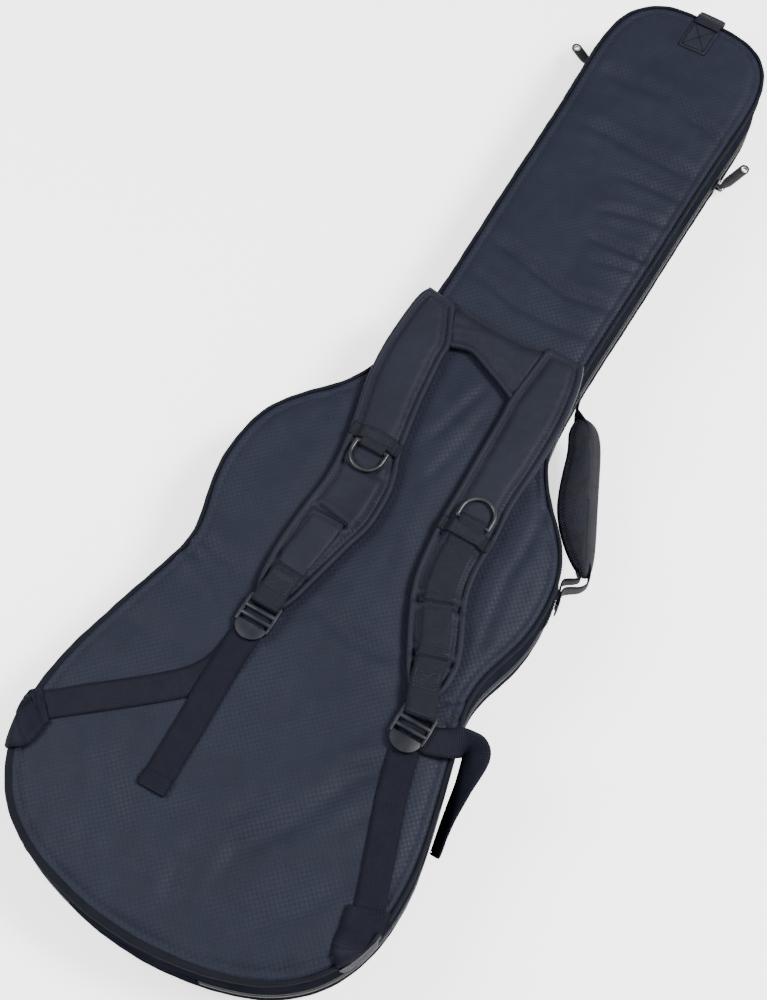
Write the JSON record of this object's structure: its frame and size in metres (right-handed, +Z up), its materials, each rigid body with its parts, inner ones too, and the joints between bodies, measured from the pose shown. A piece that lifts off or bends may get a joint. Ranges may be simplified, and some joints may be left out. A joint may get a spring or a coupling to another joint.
{
  "type": "padded gig bag",
  "caption": "Padded electric guitar gig bag with backpack straps, side carry handle, head hanging loop and a perimeter zipper that opens as a clamshell.",
  "frame": {"origin": "on the resting plane, half way along the bag on its centre plane", "axes": "+Z up out of the back panel, +Y towards the head end, +X towards the side with the carry handle"},
  "size_m": [0.3583, 1.0519, 0.0932],
  "materials": {
    "shell_fabric": "navy nylon with a small embossed check",
    "side_nylon": "plain smooth woven nylon",
    "binding": "woven binding tape",
    "webbing": "ribbed flat webbing",
    "grip_fabric": "coarse ballistic weave",
    "lining": "brushed tricot lining",
    "foam": "closed-cell foam",
    "zip_tape": "woven zipper tape",
    "zip_coil": "nylon coil",
    "black_metal": "satin black plated wire",
    "black_plastic": "satin black acetal",
    "pull_metal": "gunmetal plated zinc"
  },
  "bodies": {
    "front_shell": {"front_outer": "shell_fabric", "front_foam": "foam", "front_lining": "lining", "front_gusset": "side_nylon", "front_binding": "binding", "front_zip_tape": "zip_tape", "front_zip_teeth": "zip_coil", "hinge_strip": "side_nylon"},
    "back_shell": {"back_outer": "shell_fabric", "back_foam": "foam", "back_lining": "lining", "back_gusset": "side_nylon", "gusset_foam": "foam", "back_binding": "binding", "back_zip_tape": "zip_tape", "back_zip_teeth": "zip_coil", "neck_cradle": "lining", "neck_strap": "webbing", "end_pad": "lining", "yoke": "shell_fabric", "lower_web_left": "webbing", "lower_web_right": "webbing", "web_tail_left": "webbing", "web_tail_right": "webbing", "anchor_tab_left": "webbing", "anchor_tab_right": "webbing", "handle_patch_upper": "webbing", "handle_patch_lower": "webbing", "handle_web_upper": "webbing", "handle_web_lower": "webbing", "hang_loop_patch": "webbing"},
    "strap_left": {"strap_pad_left": "shell_fabric", "strap_web_left": "webbing", "ring_keeper_left": "webbing", "strap_end_loop_left": "webbing"},
    "strap_right": {"strap_pad_right": "shell_fabric", "strap_web_right": "webbing", "ring_keeper_right": "webbing", "strap_end_loop_right": "webbing"},
    "ring_left": {"d_ring_left": "black_metal"},
    "ring_right": {"d_ring_right": "black_metal"},
    "lock_left": {"ladder_lock_left": "black_plastic"},
    "lock_right": {"ladder_lock_right": "black_plastic"},
    "handle": {"handle_grip": "grip_fabric"},
    "head_loop": {"hang_loop": "webbing"},
    "slider_left": {"zip_slider_left": "pull_metal"},
    "slider_right": {"zip_slider_right": "pull_metal"},
    "pull_left": {"zip_pull_left": "pull_metal"},
    "pull_right": {"zip_pull_right": "pull_metal"}
  },
  "joints": [
    {"name": "shell_open", "type": "hinge", "parent": "front_shell", "child": "back_shell", "pos_m": [0, -0.5216, 0.022], "axis": [1, 0, 0], "range_deg": [0, 110], "deforming": ["hinge_strip"]},
    {"name": "strap_left_lift", "type": "hinge", "parent": "back_shell", "child": "strap_left", "pos_m": [-0.058, 0.1076, 0.0752], "axis": [-1, 0, 0], "range_deg": [0, 13], "deforming": ["lower_web_left", "web_tail_left"]},
    {"name": "strap_right_lift", "type": "hinge", "parent": "back_shell", "child": "strap_right", "pos_m": [0.058, 0.1076, 0.0752], "axis": [-1, 0, 0], "range_deg": [0, 13], "deforming": ["lower_web_right", "web_tail_right"]},
    {"name": "ring_left_flip", "type": "hinge", "parent": "strap_left", "child": "ring_left", "pos_m": [-0.044, -0.064, 0.0899], "axis": [-1, 0, 0], "range_deg": [0, 165]},
    {"name": "ring_right_flip", "type": "hinge", "parent": "strap_right", "child": "ring_right", "pos_m": [0.065, -0.081, 0.0899], "axis": [1, 0, 0], "range_deg": [0, 165]},
    {"name": "lock_left_tilt", "type": "hinge", "parent": "strap_left", "child": "lock_left", "pos_m": [-0.0478, -0.2312, 0.0834], "axis": [-1, 0, 0], "range_deg": [0, 40]},
    {"name": "lock_right_tilt", "type": "hinge", "parent": "strap_right", "child": "lock_right", "pos_m": [0.1104, -0.2484, 0.0834], "axis": [-1, 0, 0], "range_deg": [0, 40]},
    {"name": "handle_swing", "type": "hinge", "parent": "back_shell", "child": "handle", "pos_m": [0.118, -0.003, 0.04], "axis": [0.4235, -0.9059, 0], "range_deg": [-30, 75], "deforming": ["handle_web_upper", "handle_web_lower"]},
    {"name": "head_loop_flop", "type": "hinge", "parent": "back_shell", "child": "head_loop", "pos_m": [0, 0.5212, 0.0714], "axis": [1, 0, 0], "range_deg": [0, 60]},
    {"name": "slider_left_run", "type": "slide", "parent": "front_shell", "child": "slider_left", "axis": [0.0211, -0.9998, 0], "range_m": [0, 0.27]},
    {"name": "slider_right_run", "type": "slide", "parent": "front_shell", "child": "slider_right", "axis": [-0.0156, -0.9999, 0], "range_m": [-0.04, 0.21]},
    {"name": "pull_left_swing", "type": "hinge", "parent": "slider_left", "child": "pull_left", "pos_m": [-0.0901, 0.449, 0.022], "axis": [0, 0, 1], "range_deg": [-50, 110]},
    {"name": "pull_right_swing", "type": "hinge", "parent": "slider_right", "child": "pull_right", "pos_m": [0.0883, 0.384, 0.022], "axis": [0, 0, 1], "range_deg": [-152, 8]}
  ]
}
